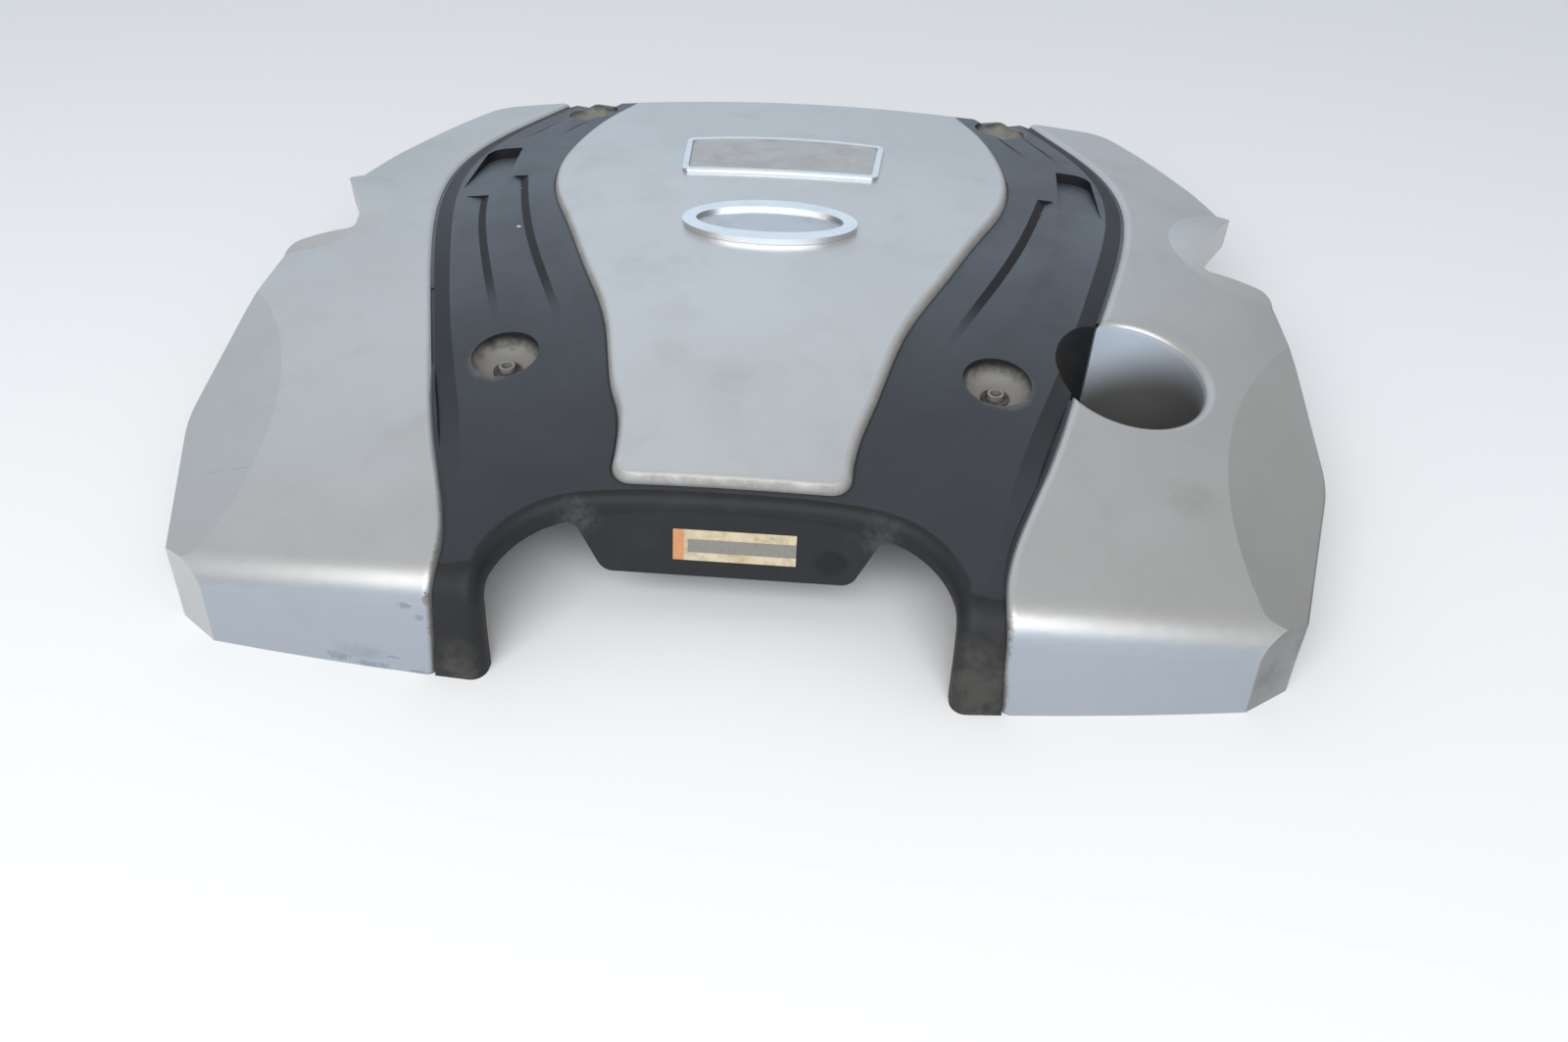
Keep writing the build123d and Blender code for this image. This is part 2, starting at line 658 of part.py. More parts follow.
def apron():
    """The leaning plate that hangs under the middle of the arch, its sides turned out to meet it."""
    right = [
        (APRON_BOTTOM_HALF, -apron_drop),
        (APRON_FLARE_HALF, -APRON_FLARE_DROP),
        (APRON_TOP_HALF, -0.8 * APRON_FLARE_DROP),
        (APRON_TOP_HALF, 0),
    ]
    with BuildPart() as plate:
        with BuildSketch(APRON_FACE) as outline:
            with BuildLine():
                Polyline(*right, *mirrored(right), close=True)
            make_face()
            fillet(outline.vertices().group_by(Axis.Y)[1], APRON_FLARE_R)
            fillet(outline.vertices().group_by(Axis.Y)[0], APRON_CORNER_R)
        extrude(amount=-APRON_WALL)
    return plate.part


def clip_tab():
    """The slit tab that hangs inside the hem of the right-hand panel, near its front corner."""
    hem_run = (TAB_SHARE - HEM_BEND_SHARE) * LENGTH
    x = HALF - HEM_BEND_CUT + hem_run * math.tan(math.radians(TAB_TURN)) - TAB_WALL
    height = skin_z(CREASE_X, at(TAB_SHARE)) - PANEL_HEM - TAB_BOTTOM_Z
    with BuildPart() as tab:
        with Locations(Location((x, at(TAB_SHARE), TAB_BOTTOM_Z), (0, 0, -TAB_TURN))):
            Box(TAB_WALL, TAB_LENGTH, height, align=(Align.CENTER, Align.CENTER, Align.MIN))
            slit_align = (Align.CENTER, Align.CENTER, Align.MIN)
            Box(2 * TAB_WALL, TAB_SLIT, height / 2, align=slit_align, mode=Mode.SUBTRACT)
    return tab.part


# Crest of the black base: the crowned skin in plan with the rounded arch, the pleats and the recess
centre_recess = prism(centre_plan(SEAM_GAP)) - crowned_block(CENTRE_RECESS)
pleat_cutters = [both_sides(cutter) for cutter in pleats()]
with BuildPart() as crest:
    add(trimmed(crowned_block(0), base_plan(0)))
    arch_edges = crest.edges().filter_by_position(Axis.X, -LEG_INNER_X, LEG_INNER_X)
    arch_edges = arch_edges.filter_by_position(Axis.Y, FRONT_Y, FRONT + ARCH_DEPTH + SEAM_GAP)
    arch_edges = arch_edges.filter_by_position(Axis.Z, 0.2 * TOP_RISE, TOP_RISE)
    fillet(arch_edges, ARCH_LIP_R)
    add(pleat_cutters, mode=Mode.SUBTRACT)
    add(centre_recess, mode=Mode.SUBTRACT)

# Black base: the crest hollowed to a wall with a turned-down flange, what grows from it, then the cuts
hollow = trimmed(crowned_block(BASE_WALL), base_plan(BASE_WALL), -TALL)
scoop_pan = trimmed(crest.part, scoop_plan(BASE_WALL)) - scoop_ramp(BASE_WALL)
scoop_cut = prism(scoop_plan(0)) - scoop_ramp(0)
growths = [apron(), both_sides(ledge()), ribs(), pocket_bodies(crest.part), both_sides(scoop_pan)]
growths.append(well_wall(crest.part))
all_stake_holes = both_sides(stake_holes(SIDE_STAKES + CENTRE_STAKES))
cuts = [both_sides(scoop_cut), pocket_cuts(), well_bore(), all_stake_holes]
with BuildPart() as base_cover:
    add(crest.part)
    add([hollow, crowned_block(BASE_FLANGE)], mode=Mode.SUBTRACT)
    add(growths)
    add(cuts, mode=Mode.SUBTRACT)
base_cover.part.label = "base_cover"

# Solids of the right-hand side panel: its crowned top, the dome at the notch and what hollows them
panel_top = trimmed(cornered_block(0), side_plan(0, 0))
dome_top = trimmed(dome(0), side_plan(0, 0))
dome_hollow = trimmed(dome(PANEL_WALL), side_plan(PANEL_WALL, -LEDGE_WIDTH), -TALL)
panel_hollow = trimmed(cornered_block(PANEL_WALL), side_plan(PANEL_WALL, -LEDGE_WIDTH), -TALL)
side_stakes = stakes(SIDE_STAKES, PANEL_WALL / 2, PANEL_WALL + SEAT_GAP + LEDGE_WALL)
hem_hollow = cornered_block(PANEL_HEM)


def rounded(block):
    """A solid side panel with its edges rounded, more along the seam and the well than outside."""
    with BuildPart() as panel:
        add(block)
        fillet(rim_edges(panel, True), SEAM_EDGE_R)
        fillet(rim_edges(panel, False), PANEL_EDGE_R)
    return panel.part


def hollowed(block, extras):
    """A side panel's shell from its solid, with the dome, the stakes and what else grows under it."""
    with BuildPart() as panel:
        add(block)
        add(dome_top)
        add([panel_hollow, dome_hollow, hem_hollow], mode=Mode.SUBTRACT)
        add([side_stakes, *extras])
    return panel.part


# Right-hand side panel with its share of the filler well's wall and the clip tab
right_block = rounded(panel_top - well_bore())
with BuildPart() as side_panel_right:
    add(hollowed(right_block, [well_wall(right_block), clip_tab()]))
side_panel_right.part.label = "side_panel_right"

# Left-hand side panel, the mirror image without the well and the tab
left_block = rounded(panel_top)
with BuildPart() as side_panel_left:
    add(hollowed(left_block, []))
    mirror(about=Plane.YZ, mode=Mode.REPLACE)
side_panel_left.part.label = "side_panel_left"

# Raised centre panel: a crowned tray, open below, that sits in the shallow recess of the base
centre_hollow = layer(centre_plan(-CENTRE_WALL), CENTRE_WALL - CENTRE_RISE, CENTRE_RECESS)
centre_stakes = both_sides(stakes(CENTRE_STAKES, CENTRE_WALL / 2 - CENTRE_RISE, BASE_WALL))
with BuildPart() as centre_panel:
    add(layer(centre_plan(0), -CENTRE_RISE, CENTRE_RECESS - SEAT_GAP))
    fillet(centre_panel.faces().sort_by(Axis.Z)[-1].outer_wire().edges(), CENTRE_EDGE_R)
    add(centre_hollow, mode=Mode.SUBTRACT)
    add(centre_stakes)
centre_panel.part.label = "centre_panel"


def badge_plan(inset):
    """Plan of the badge plate, all edges moved inward by inset."""
    front = at(BADGE_SHARE) + inset
    rear = at(BADGE_SHARE) + BADGE_DEPTH - inset
    front_x = BADGE_FRONT_HALF - inset
    rear_x = BADGE_REAR_HALF - inset
    with BuildSketch() as plan:
        with BuildLine():
            Polyline((-rear_x, rear), (-front_x, front), (front_x, front), (rear_x, rear))
            ThreePointArc((rear_x, rear), (0, rear + BADGE_BOW), (-rear_x, rear))
        make_face()
        fillet(plan.vertices(), BADGE_CORNER_R - inset / 2)
    return plan.sketch


def plaque_plan(inset):
    """Plan of the plaque, all edges moved inward by inset."""
    with BuildSketch() as plan:
        with Locations((0, at(PLAQUE_SHARE))):
            Ellipse(PLAQUE_WIDTH / 2 - inset, PLAQUE_DEPTH / 2 - inset)
    return plan.sketch


def rim_and_face(plan, rim, rim_rise, face_rise):
    """A raised rim on the centre panel and the lower face inside it."""
    seat = -CENTRE_RISE - GLUE_GAP
    with BuildPart() as ring:
        add(layer(plan(0), seat - rim_rise, seat))
        add(prism(plan(rim)), mode=Mode.SUBTRACT)
    face = layer(plan(rim + GLUE_GAP), seat - face_rise, seat)
    return ring.part, face


# Badge plate and plaque on the centre panel, each a bright rim round a plain face
trim = {}
badge = rim_and_face(badge_plan, BADGE_RIM, BADGE_RISE, BADGE_FACE_RISE)
trim["badge_frame"], trim["badge_face"] = badge
plaque = rim_and_face(plaque_plan, PLAQUE_RIM, PLAQUE_RISE, PLAQUE_FACE_RISE)
trim["plaque_rim"], trim["plaque_face"] = plaque

# Paper label on the apron
with BuildPart() as part_label:
    with BuildSketch(APRON_FACE) as label_outline:
        with Locations((LABEL_X, -apron_drop / 2)):
            Rectangle(LABEL_WIDTH, LABEL_HEIGHT)
    extrude(amount=LABEL_THICK)
trim["part_label"] = part_label.part

# Steel sleeves through the columns and the rubber grommets round their heads
for corner, (x, y, floor_z) in POCKETS.items():
    with BuildPart() as mount_sleeve:
        with BuildSketch(Plane((x, y, 0))):
            Circle(SLEEVE_R)
            Circle(SLEEVE_BORE_R, mode=Mode.SUBTRACT)
        extrude(amount=floor_z + SLEEVE_STAND)
    trim[f"mount_sleeve_{corner}"] = mount_sleeve.part
    with BuildPart() as mount_grommet:
        with BuildSketch(Plane((x, y, floor_z + GROMMET_STAND - GROMMET_HEIGHT))):
            Circle(GROMMET_R)
            Circle(SLEEVE_R + FIT_GAP, mode=Mode.SUBTRACT)
        extrude(amount=GROMMET_HEIGHT)
    trim[f"mount_grommet_{corner}"] = mount_grommet.part

os.makedirs("parts", exist_ok=True)
for label, piece in trim.items():
    piece.label = label
    export_step(piece, f"parts/{label}.step")
for panel in (base_cover, side_panel_right, side_panel_left, centre_panel):
    export_step(panel.part, f"parts/{panel.part.label}.step")
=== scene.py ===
import math

import bmesh
import bpy
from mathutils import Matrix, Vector


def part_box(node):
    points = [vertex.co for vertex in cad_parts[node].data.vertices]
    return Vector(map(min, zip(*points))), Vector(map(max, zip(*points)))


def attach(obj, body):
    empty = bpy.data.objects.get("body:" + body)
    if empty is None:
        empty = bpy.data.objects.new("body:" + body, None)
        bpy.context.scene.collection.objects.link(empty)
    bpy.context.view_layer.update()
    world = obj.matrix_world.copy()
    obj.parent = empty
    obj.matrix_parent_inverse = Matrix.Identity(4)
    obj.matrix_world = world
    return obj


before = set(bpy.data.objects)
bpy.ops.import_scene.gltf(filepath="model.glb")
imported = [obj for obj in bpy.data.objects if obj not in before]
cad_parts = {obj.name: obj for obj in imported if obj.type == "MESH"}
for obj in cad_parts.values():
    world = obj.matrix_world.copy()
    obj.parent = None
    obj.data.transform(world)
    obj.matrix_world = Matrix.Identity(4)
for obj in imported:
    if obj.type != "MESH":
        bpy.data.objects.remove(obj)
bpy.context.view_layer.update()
scene = bpy.context.scene


# Black base of the cover.
# One injection moulding in black glass-filled nylon with a fine satin grain. It bolts to the engine through
# four columns, and its ledges and holes take the heat stakes of the painted panels.
def add_node(tree, kind, settings=None, inputs=None):
    """A node with its settings and inputs; an input that is a socket is linked, any other is written in."""
    made = tree.nodes.new(kind)
    for name, value in (settings or {}).items():
        setattr(made, name, value)
    for name, value in (inputs or {}).items():
        if isinstance(value, bpy.types.NodeSocket):
            tree.links.new(value, made.inputs[name])
        else:
            made.inputs[name].default_value = value
    return made


def new_group(name, inputs, output):
    """An empty shader node group with named inputs and one float output, and its input and output nodes."""
    group = bpy.data.node_groups.new(name, "ShaderNodeTree")
    for label, kind, value in inputs:
        socket = group.interface.new_socket(label, in_out="INPUT", socket_type=kind)
        socket.default_value = value
    group.interface.new_socket(output, in_out="OUTPUT", socket_type="NodeSocketFloat")
    return group, group.nodes.new("NodeGroupInput").outputs, group.nodes.new("NodeGroupOutput").inputs


def math_node(tree, operation, first, second):
    """The result of one sum on two values or sockets."""
    return add_node(tree, "ShaderNodeMath", {"operation": operation}, {0: first, 1: second}).outputs[0]


def smooth_step(tree, value, low, high):
    """Zero below low, one above high, with a soft change between."""
    ends = {"Value": value, "From Min": low, "From Max": high}
    return add_node(tree, "ShaderNodeMapRange", {"interpolation_type": "SMOOTHSTEP"}, ends).outputs["Result"]


def cloudy_dust():
    """Soft uneven patches, for dust that has dried on a surface."""
    sockets = [
        ("Scale", "NodeSocketFloat", 10.0),
        ("Low", "NodeSocketFloat", 0.4),
        ("High", "NodeSocketFloat", 0.7),
    ]
    group, given, result = new_group("cloudy_dust", sockets, "Mask")
    place = add_node(group, "ShaderNodeTexCoord").outputs["Object"]
    cloud = {"Vector": place, "Scale": given["Scale"], "Detail": 7.0, "Roughness": 0.62, "Distortion": 0.3}
    noise = add_node(group, "ShaderNodeTexNoise", inputs=cloud)
    mask = smooth_step(group, noise.outputs["Fac"], given["Low"], given["High"])
    group.links.new(mask, result["Mask"])
    return group


def worn_patch():
    """Broken marks that thin out from the middle of a stretched ball, for chips, scuffs and grime."""
    sockets = [
        ("Centre", "NodeSocketVector", (0.0, 0.0, 0.0)),
        ("Reach", "NodeSocketVector", (0.01, 0.01, 0.01)),
        ("Grain", "NodeSocketFloat", 200.0),
        ("Least", "NodeSocketFloat", 0.2),
        ("Softness", "NodeSocketFloat", 0.1),
    ]
    group, given, result = new_group("worn_patch", sockets, "Mask")
    place = add_node(group, "ShaderNodeTexCoord").outputs["Object"]
    ends = {0: place, 1: given["Centre"]}
    offset = add_node(group, "ShaderNodeVectorMath", {"operation": "SUBTRACT"}, ends)
    sizes = {0: offset.outputs["Vector"], 1: given["Reach"]}
    scaled = add_node(group, "ShaderNodeVectorMath", {"operation": "DIVIDE"}, sizes)
    far = add_node(group, "ShaderNodeVectorMath", {"operation": "LENGTH"}, {0: scaled.outputs["Vector"]})
    near = math_node(group, "SUBTRACT", 1.0, far.outputs["Value"])
    speckle = {"Vector": place, "Scale": given["Grain"], "Detail": 6.0, "Roughness": 0.6}
    noise = add_node(group, "ShaderNodeTexNoise", inputs=speckle)
    broken = math_node(group, "MULTIPLY", near, noise.outputs["Fac"])
    most = math_node(group, "ADD", given["Least"], given["Softness"])
    group.links.new(smooth_step(group, broken, given["Least"], most), result["Mask"])
    return group


dust_group = cloudy_dust()
patch_group = worn_patch()


def dust(tree, scale, low, high):
    """Mask of one layer of dust in a material."""
    values = {"Scale": scale, "Low": low, "High": high}
    return add_node(tree, "ShaderNodeGroup", {"node_tree": dust_group}, values).outputs[0]


def patch(tree, centre, reach, grain, least, softness):
    """Mask of one worn place in a material."""
    values = {"Centre": centre, "Reach": reach, "Grain": grain, "Least": least, "Softness": softness}
    return add_node(tree, "ShaderNodeGroup", {"node_tree": patch_group}, values).outputs[0]


def patches(tree, places, grain, least, softness):
    """Mask of several worn places, each a centre and a reach in metres."""
    mask = patch(tree, *places[0], grain, least, softness)
    for centre, reach in places[1:]:
        mask = math_node(tree, "MAXIMUM", mask, patch(tree, centre, reach, grain, least, softness))
    return mask


def lay_colour(tree, under, over, mask, amount):
    """A colour laid over another where the mask is one, as far as the amount."""
    factor = math_node(tree, "MULTIPLY", mask, amount)
    mix = add_node(tree, "ShaderNodeMix", {"data_type": "RGBA"})
    for socket, value in ((mix.inputs[0], factor), (mix.inputs[6], under), (mix.inputs[7], over)):
        if isinstance(value, bpy.types.NodeSocket):
            tree.links.new(value, socket)
        else:
            socket.default_value = (*value, 1.0)
    return mix.outputs[2]


def ramp(tree, mask, low, high):
    """A value that goes from low to high with a mask."""
    return math_node(tree, "ADD", math_node(tree, "MULTIPLY", mask, high - low), low)


def grain_normal(tree, scale, strength, depth):
    """Normal of a fine even grain."""
    place = add_node(tree, "ShaderNodeTexCoord").outputs["Object"]
    noise = add_node(tree, "ShaderNodeTexNoise", inputs={"Vector": place, "Scale": scale, "Detail": 3.0})
    bump = {"Strength": strength, "Distance": depth, "Height": noise.outputs["Fac"]}
    return add_node(tree, "ShaderNodeBump", inputs=bump).outputs["Normal"]


def new_material(name):
    """A node material, its tree and its Principled shader."""
    material = bpy.data.materials.new(name)
    material.use_nodes = True
    return material, material.node_tree, material.node_tree.nodes["Principled BSDF"]


def facing_up(tree, low, high):
    """Mask of the faces that look up, where dust settles; some materials also lay painted light or painted
    shade by it.
    """
    normal = add_node(tree, "ShaderNodeNewGeometry").outputs["Normal"]
    lift = add_node(tree, "ShaderNodeSeparateXYZ", inputs={"Vector": normal}).outputs["Z"]
    return smooth_step(tree, lift, low, high)


def dress(node, material):
    """Gives a node's object its material."""
    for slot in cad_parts[node].material_slots:
        slot.material = material


def satin_black():
    """Black nylon under a bluish film of settled dust, with painted shade on its sloped faces, a painted
    sheen towards the rear, silty pockets, brown feet and a brown patch in the filler well.
    """
    material, tree, shader = new_material("satin_black")
    nylon_black = (0.0125, 0.0130, 0.0145)
    thin_dust = (0.042, 0.046, 0.055)
    rear_dust_and_sheen = (0.122, 0.142, 0.172)
    brown_haze = (0.040, 0.038, 0.036)
    pale_specks = (0.11, 0.11, 0.10)
    pocket_silt = (0.270, 0.256, 0.232)
    well_patch_brown = (0.062, 0.056, 0.046)
    foot_brown = (0.078, 0.072, 0.062)
    apron_grey = (0.072, 0.072, 0.070)
    oil_black = (0.004, 0.004, 0.005)
    fleck_white = (0.55, 0.55, 0.53)
    clouds = dust(tree, scale=8.0, low=0.28, high=0.74)
    haze = dust(tree, scale=48.0, low=0.44, high=0.80)
    specks = dust(tree, scale=700.0, low=0.62, high=0.74)
    place = add_node(tree, "ShaderNodeTexCoord").outputs["Object"]
    depth = add_node(tree, "ShaderNodeSeparateXYZ", inputs={"Vector": place}).outputs["Y"]
    rear = smooth_step(tree, depth, -0.17, 0.10)
    # Dust settles on the faces that look up. The narrow band also leaves the pleat slopes and the legs bare
    # black, as painted shade.
    up = facing_up(tree, low=0.925, high=0.985)
    dust_and_slope_shade = math_node(tree, "MULTIPLY", up, ramp(tree, clouds, 0.60, 1.0))
    # Lighter bluish film towards the rear: dust, with a painted sheen of the strips' glancing reflection.
    rear_film_and_sheen = math_node(tree, "MULTIPLY", dust_and_slope_shade, rear)
    colour = lay_colour(tree, nylon_black, thin_dust, dust_and_slope_shade, 1.0)
    colour = lay_colour(tree, colour, rear_dust_and_sheen, rear_film_and_sheen, 0.82)
    colour = lay_colour(tree, colour, brown_haze, haze, 0.28)
    colour = lay_colour(tree, colour, pale_specks, specks, 0.22)
    pocket_reach = (0.029, 0.029, 0.017)
    pockets = [((x, y, 0.074), pocket_reach) for x, y in ((0.14, -0.108), (-0.14, -0.108))]
    pockets += [((x, y, 0.072), pocket_reach) for x, y in ((0.161, 0.246), (-0.161, 0.246))]
    silt = patches(tree, pockets, grain=130.0, least=0.03, softness=0.20)
    colour = lay_colour(tree, colour, pocket_silt, silt, 0.88)
    # A brown patch over the black wall of the filler well.
    well_patch = patch(
        tree, (0.184, -0.083, 0.050), (0.030, 0.060, 0.060), grain=90.0, least=0.08, softness=0.40
    )
    colour = lay_colour(tree, colour, well_patch_brown, well_patch, 0.8)
    feet = [
        ((0.131, -0.282, 0.014), (0.034, 0.034, 0.068)),
        ((-0.131, -0.284, 0.006), (0.024, 0.022, 0.034)),
    ]
    marks = patches(tree, feet, grain=120.0, least=0.10, softness=0.34)
    colour = lay_colour(tree, colour, foot_brown, marks, 0.65)
    apron_dust = [
        ((-0.078, -0.214, 0.058), (0.022, 0.020, 0.024)),
        ((0.080, -0.214, 0.056), (0.022, 0.020, 0.024)),
        ((-0.026, -0.226, 0.050), (0.0045, 0.012, 0.0045)),
    ]
    marks = patches(tree, apron_dust, grain=260.0, least=0.16, softness=0.40)
    colour = lay_colour(tree, colour, apron_grey, marks, 0.7)
    oily = patch(
        tree, (0.053, -0.222, 0.042), (0.014, 0.020, 0.010), grain=60.0, least=0.10, softness=0.16
    )
    colour = lay_colour(tree, colour, oil_black, oily, 0.8)
    speck = patch(
        tree, (-0.1662, 0.0319, 0.0933), (0.0022, 0.0022, 0.0060), grain=90.0, least=0.10, softness=0.04
    )
    colour = lay_colour(tree, colour, fleck_white, speck, 1.0)
    tree.links.new(colour, shader.inputs["Base Color"])
    tree.links.new(ramp(tree, dust_and_slope_shade, 0.58, 0.42), shader.inputs["Roughness"])
    tree.links.new(grain_normal(tree, scale=900.0, strength=0.14, depth=0.0004), shader.inputs["Normal"])
    shader.inputs["Specular IOR Level"].default_value = 0.34
    return material


base_black = satin_black()
dress("base_cover", base_black)


# Bridge of the left-hand ledge.
# A short run of the same black nylon moulding under the left seam, between two lengths of the base's ledge.
# It closes the seam from below, beside the edge of the left panel.
def crown_height(x, y):
    """Height of the base's crowned skin over a plan point."""
    top_rise = 0.101
    peak_y = 0.0672
    cross_radius = 1.9
    long_radius = 1.36
    ring = cross_radius - long_radius + math.sqrt(long_radius**2 - (y - peak_y) ** 2)
    return top_rise - cross_radius + math.sqrt(ring**2 - x**2)


bridge_front = -0.127
bridge_length = 0.092
bridge_width = 0.017
bridge_depth = 0.0058
bridge_thickness = 0.002
bridge_lap = 0.002  # reach under the base's edge
seam_x = -0.1748  # left seam at the bridge's front end
seam_lean = -0.311  # sideways run of the seam for each metre towards the rear
bridge_mesh = bpy.data.meshes.new("ledge_bridge_left")
bridge_shape = bmesh.new()
bmesh.ops.create_grid(bridge_shape, x_segments=4, y_segments=16, size=0.5)
for vert in bridge_shape.verts:
    along = (vert.co.y + 0.5) * bridge_length
    x = seam_x + seam_lean * along + bridge_lap - (vert.co.x + 0.5) * bridge_width
    y = bridge_front + along
    vert.co = (x, y, crown_height(x, y) - bridge_depth)
bmesh.ops.recalc_face_normals(bridge_shape, faces=bridge_shape.faces)
bmesh.ops.solidify(bridge_shape, geom=bridge_shape.faces, thickness=bridge_thickness)
bmesh.ops.recalc_face_normals(bridge_shape, faces=bridge_shape.faces)
bridge_shape.to_mesh(bridge_mesh)
bridge_shape.free()
bridge_mesh.materials.append(base_black)
bridge = bpy.data.objects.new("ledge_bridge_left", bridge_mesh)
scene.collection.objects.link(bridge)
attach(bridge, "root")


# Painted side panels.
# Thin nylon mouldings sprayed silver, laid on the base's ledges and held by heat stakes. The right-hand one
# carries most of the filler well. Both are dusty, and the left one has lost paint at its front corner.
def silver_paint(name, fresh, dusty):
    """Aged silver paint with flake, fresh in places and dusty in others."""
    material, tree, shader = new_material(name)
    clouds = dust(tree, scale=5.0, low=0.30, high=0.78)
    drift = dust(tree, scale=26.0, low=0.46, high=0.82)
    flake = dust(tree, scale=1500.0, low=0.35, high=0.70)
    colour = lay_colour(tree, fresh, dusty, clouds, 1.0)
    colour = lay_colour(tree, colour, (0.400, 0.384, 0.358), drift, 0.25)
    colour = lay_colour(tree, colour, (0.68, 0.68, 0.68), flake, 0.12)
    return material, tree, shader, colour, drift


def finish_paint(tree, shader, colour, drift, dull_mask):
    """Links the paint's colour and gloss, dull where the mask says that it is dirty or chipped, or, in the
    side panels, where the filler well carries painted light and shade.
    """
    tree.links.new(colour, shader.inputs["Base Color"])
    tree.links.new(ramp(tree, dull_mask, 0.62, 0.0), shader.inputs["Metallic"])
    rough = math_node(tree, "ADD", ramp(tree, drift, 0.38, 0.45), math_node(tree, "MULTIPLY", dull_mask, 0.3))
    tree.links.new(rough, shader.inputs["Roughness"])
    tree.links.new(grain_normal(tree, scale=1300.0, strength=0.06, depth=0.0003), shader.inputs["Normal"])


def panel_paint():
    """Silver paint with grime in the seams and on the front hem, and chips down to the brown primer, with
    painted shade on the right flank, a painted bluish reflection on the front faces, and painted light and
    shade in the filler well.
    """
    fresh = (0.550, 0.552, 0.550)
    dusty = (0.485, 0.478, 0.464)
    grime_brown = (0.095, 0.082, 0.066)
    smear_grey = (0.200, 0.190, 0.175)
    scuff_black = (0.045, 0.040, 0.036)
    smudge_grey = (0.120, 0.115, 0.108)
    rub_grey = (0.330, 0.318, 0.300)
    scratch_grey = (0.300, 0.290, 0.275)
    primer_brown = (0.155, 0.090, 0.046)
    flank_shade_grey = (0.135, 0.130, 0.120)
    front_reflection_blue = (0.300, 0.350, 0.420)
    well_light_blue = (0.600, 0.660, 0.740)
    well_shade_dark = (0.075, 0.072, 0.064)
    material, tree, shader, colour, drift = silver_paint("panel_paint", fresh, dusty)
    seam_grime = [
        ((-0.1405, -0.2700, 0.030), (0.0060, 0.030, 0.040)),
        ((-0.1400, -0.2440, 0.060), (0.0060, 0.034, 0.024)),
        ((-0.1460, -0.1950, 0.070), (0.0065, 0.050, 0.020)),
        ((0.1405, -0.2690, 0.042), (0.0070, 0.026, 0.030)),
        ((0.1430, -0.2760, 0.010), (0.0060, 0.020, 0.026)),
    ]
    grime = patches(tree, seam_grime, grain=320.0, least=0.12, softness=0.26)
    hem = [
        ((-0.154, -0.278, -0.001), (0.022, 0.020, 0.0070)),
        ((-0.176, -0.276, 0.001), (0.026, 0.020, 0.0060)),
        ((-0.196, -0.274, 0.004), (0.020, 0.020, 0.0060)),
        ((-0.166, -0.276, 0.008), (0.010, 0.020, 0.0030)),
    ]
    scuff = patches(tree, hem, grain=330.0, least=0.29, softness=0.10)
    smear = patch(
        tree, (-0.182, -0.274, 0.009), (0.030, 0.020, 0.010), grain=130.0, least=0.16, softness=0.40
    )
    smudge = patch(
        tree, (0.2770, -0.2595, 0.016), (0.020, 0.030, 0.022), grain=70.0, least=0.06, softness=0.46
    )
    rub = patch(
        tree, (0.2420, -0.1770, 0.0637), (0.030, 0.024, 0.020), grain=70.0, least=0.12, softness=0.50
    )
    scratch_line = ((-0.303, -0.1877), (-0.286, -0.189), (-0.268, -0.1903))
    scratch = [((x, y, 0.0555), (0.012, 0.0006, 0.014)) for x, y in scratch_line]
    colour = lay_colour(tree, colour, grime_brown, grime, 0.80)
    colour = lay_colour(tree, colour, smear_grey, smear, 0.55)
    colour = lay_colour(tree, colour, scuff_black, scuff, 0.90)
    colour = lay_colour(tree, colour, smudge_grey, smudge, 0.75)
    colour = lay_colour(tree, colour, rub_grey, rub, 0.40)
    marks = patches(tree, scratch, grain=400.0, least=0.12, softness=0.20)
    colour = lay_colour(tree, colour, scratch_grey, marks, 0.6)
    chip_places = [
        ((-0.1432, -0.2676, 0.0440), (0.0052, 0.012, 0.0064)),
        ((-0.1556, -0.2684, 0.0393), (0.0095, 0.012, 0.0034)),
        ((-0.1480, -0.2703, 0.0336), (0.0055, 0.012, 0.0034)),
        ((-0.1425, -0.2731, 0.0260), (0.0052, 0.012, 0.0068)),
    ]
    chips = patches(tree, chip_places, grain=520.0, least=0.25, softness=0.04)
    colour = lay_colour(tree, colour, primer_brown, chips, 1.0)
    worn = math_node(tree, "MAXIMUM", chips, scuff)
    dirty = math_node(tree, "MAXIMUM", grime, smudge)
    dull_mask = math_node(tree, "MAXIMUM", worn, math_node(tree, "MULTIPLY", dirty, 0.8))
    normal = add_node(tree, "ShaderNodeNewGeometry").outputs["Normal"]
    lean = add_node(tree, "ShaderNodeSeparateXYZ", inputs={"Vector": normal}).outputs
    place = add_node(tree, "ShaderNodeTexCoord").outputs["Object"]
    spot = add_node(tree, "ShaderNodeSeparateXYZ", inputs={"Vector": place}).outputs
    # Painted shade: a mottled darker grey over the right flank and its front facet, strongest towards the
    # front.
    to_right = smooth_step(tree, lean["X"], 0.10, 0.62)
    to_front = smooth_step(tree, math_node(tree, "MULTIPLY", spot["Y"], -1.0), 0.06, 0.24)
    flank_shade = math_node(tree, "MULTIPLY", to_right, to_front)
    flank_shade_clouds = dust(tree, scale=16.0, low=0.30, high=0.75)
    flank_shade = math_node(tree, "MULTIPLY", flank_shade, ramp(tree, flank_shade_clouds, 0.60, 1.0))
    colour = lay_colour(tree, colour, flank_shade_grey, flank_shade, 0.92)
    # Painted reflection: a bluish cast on the faces that look forward.
    front_face = smooth_step(tree, math_node(tree, "MULTIPLY", lean["Y"], -1.0), 0.74, 1.0)
    colour = lay_colour(tree, colour, front_reflection_blue, front_face, 0.66)
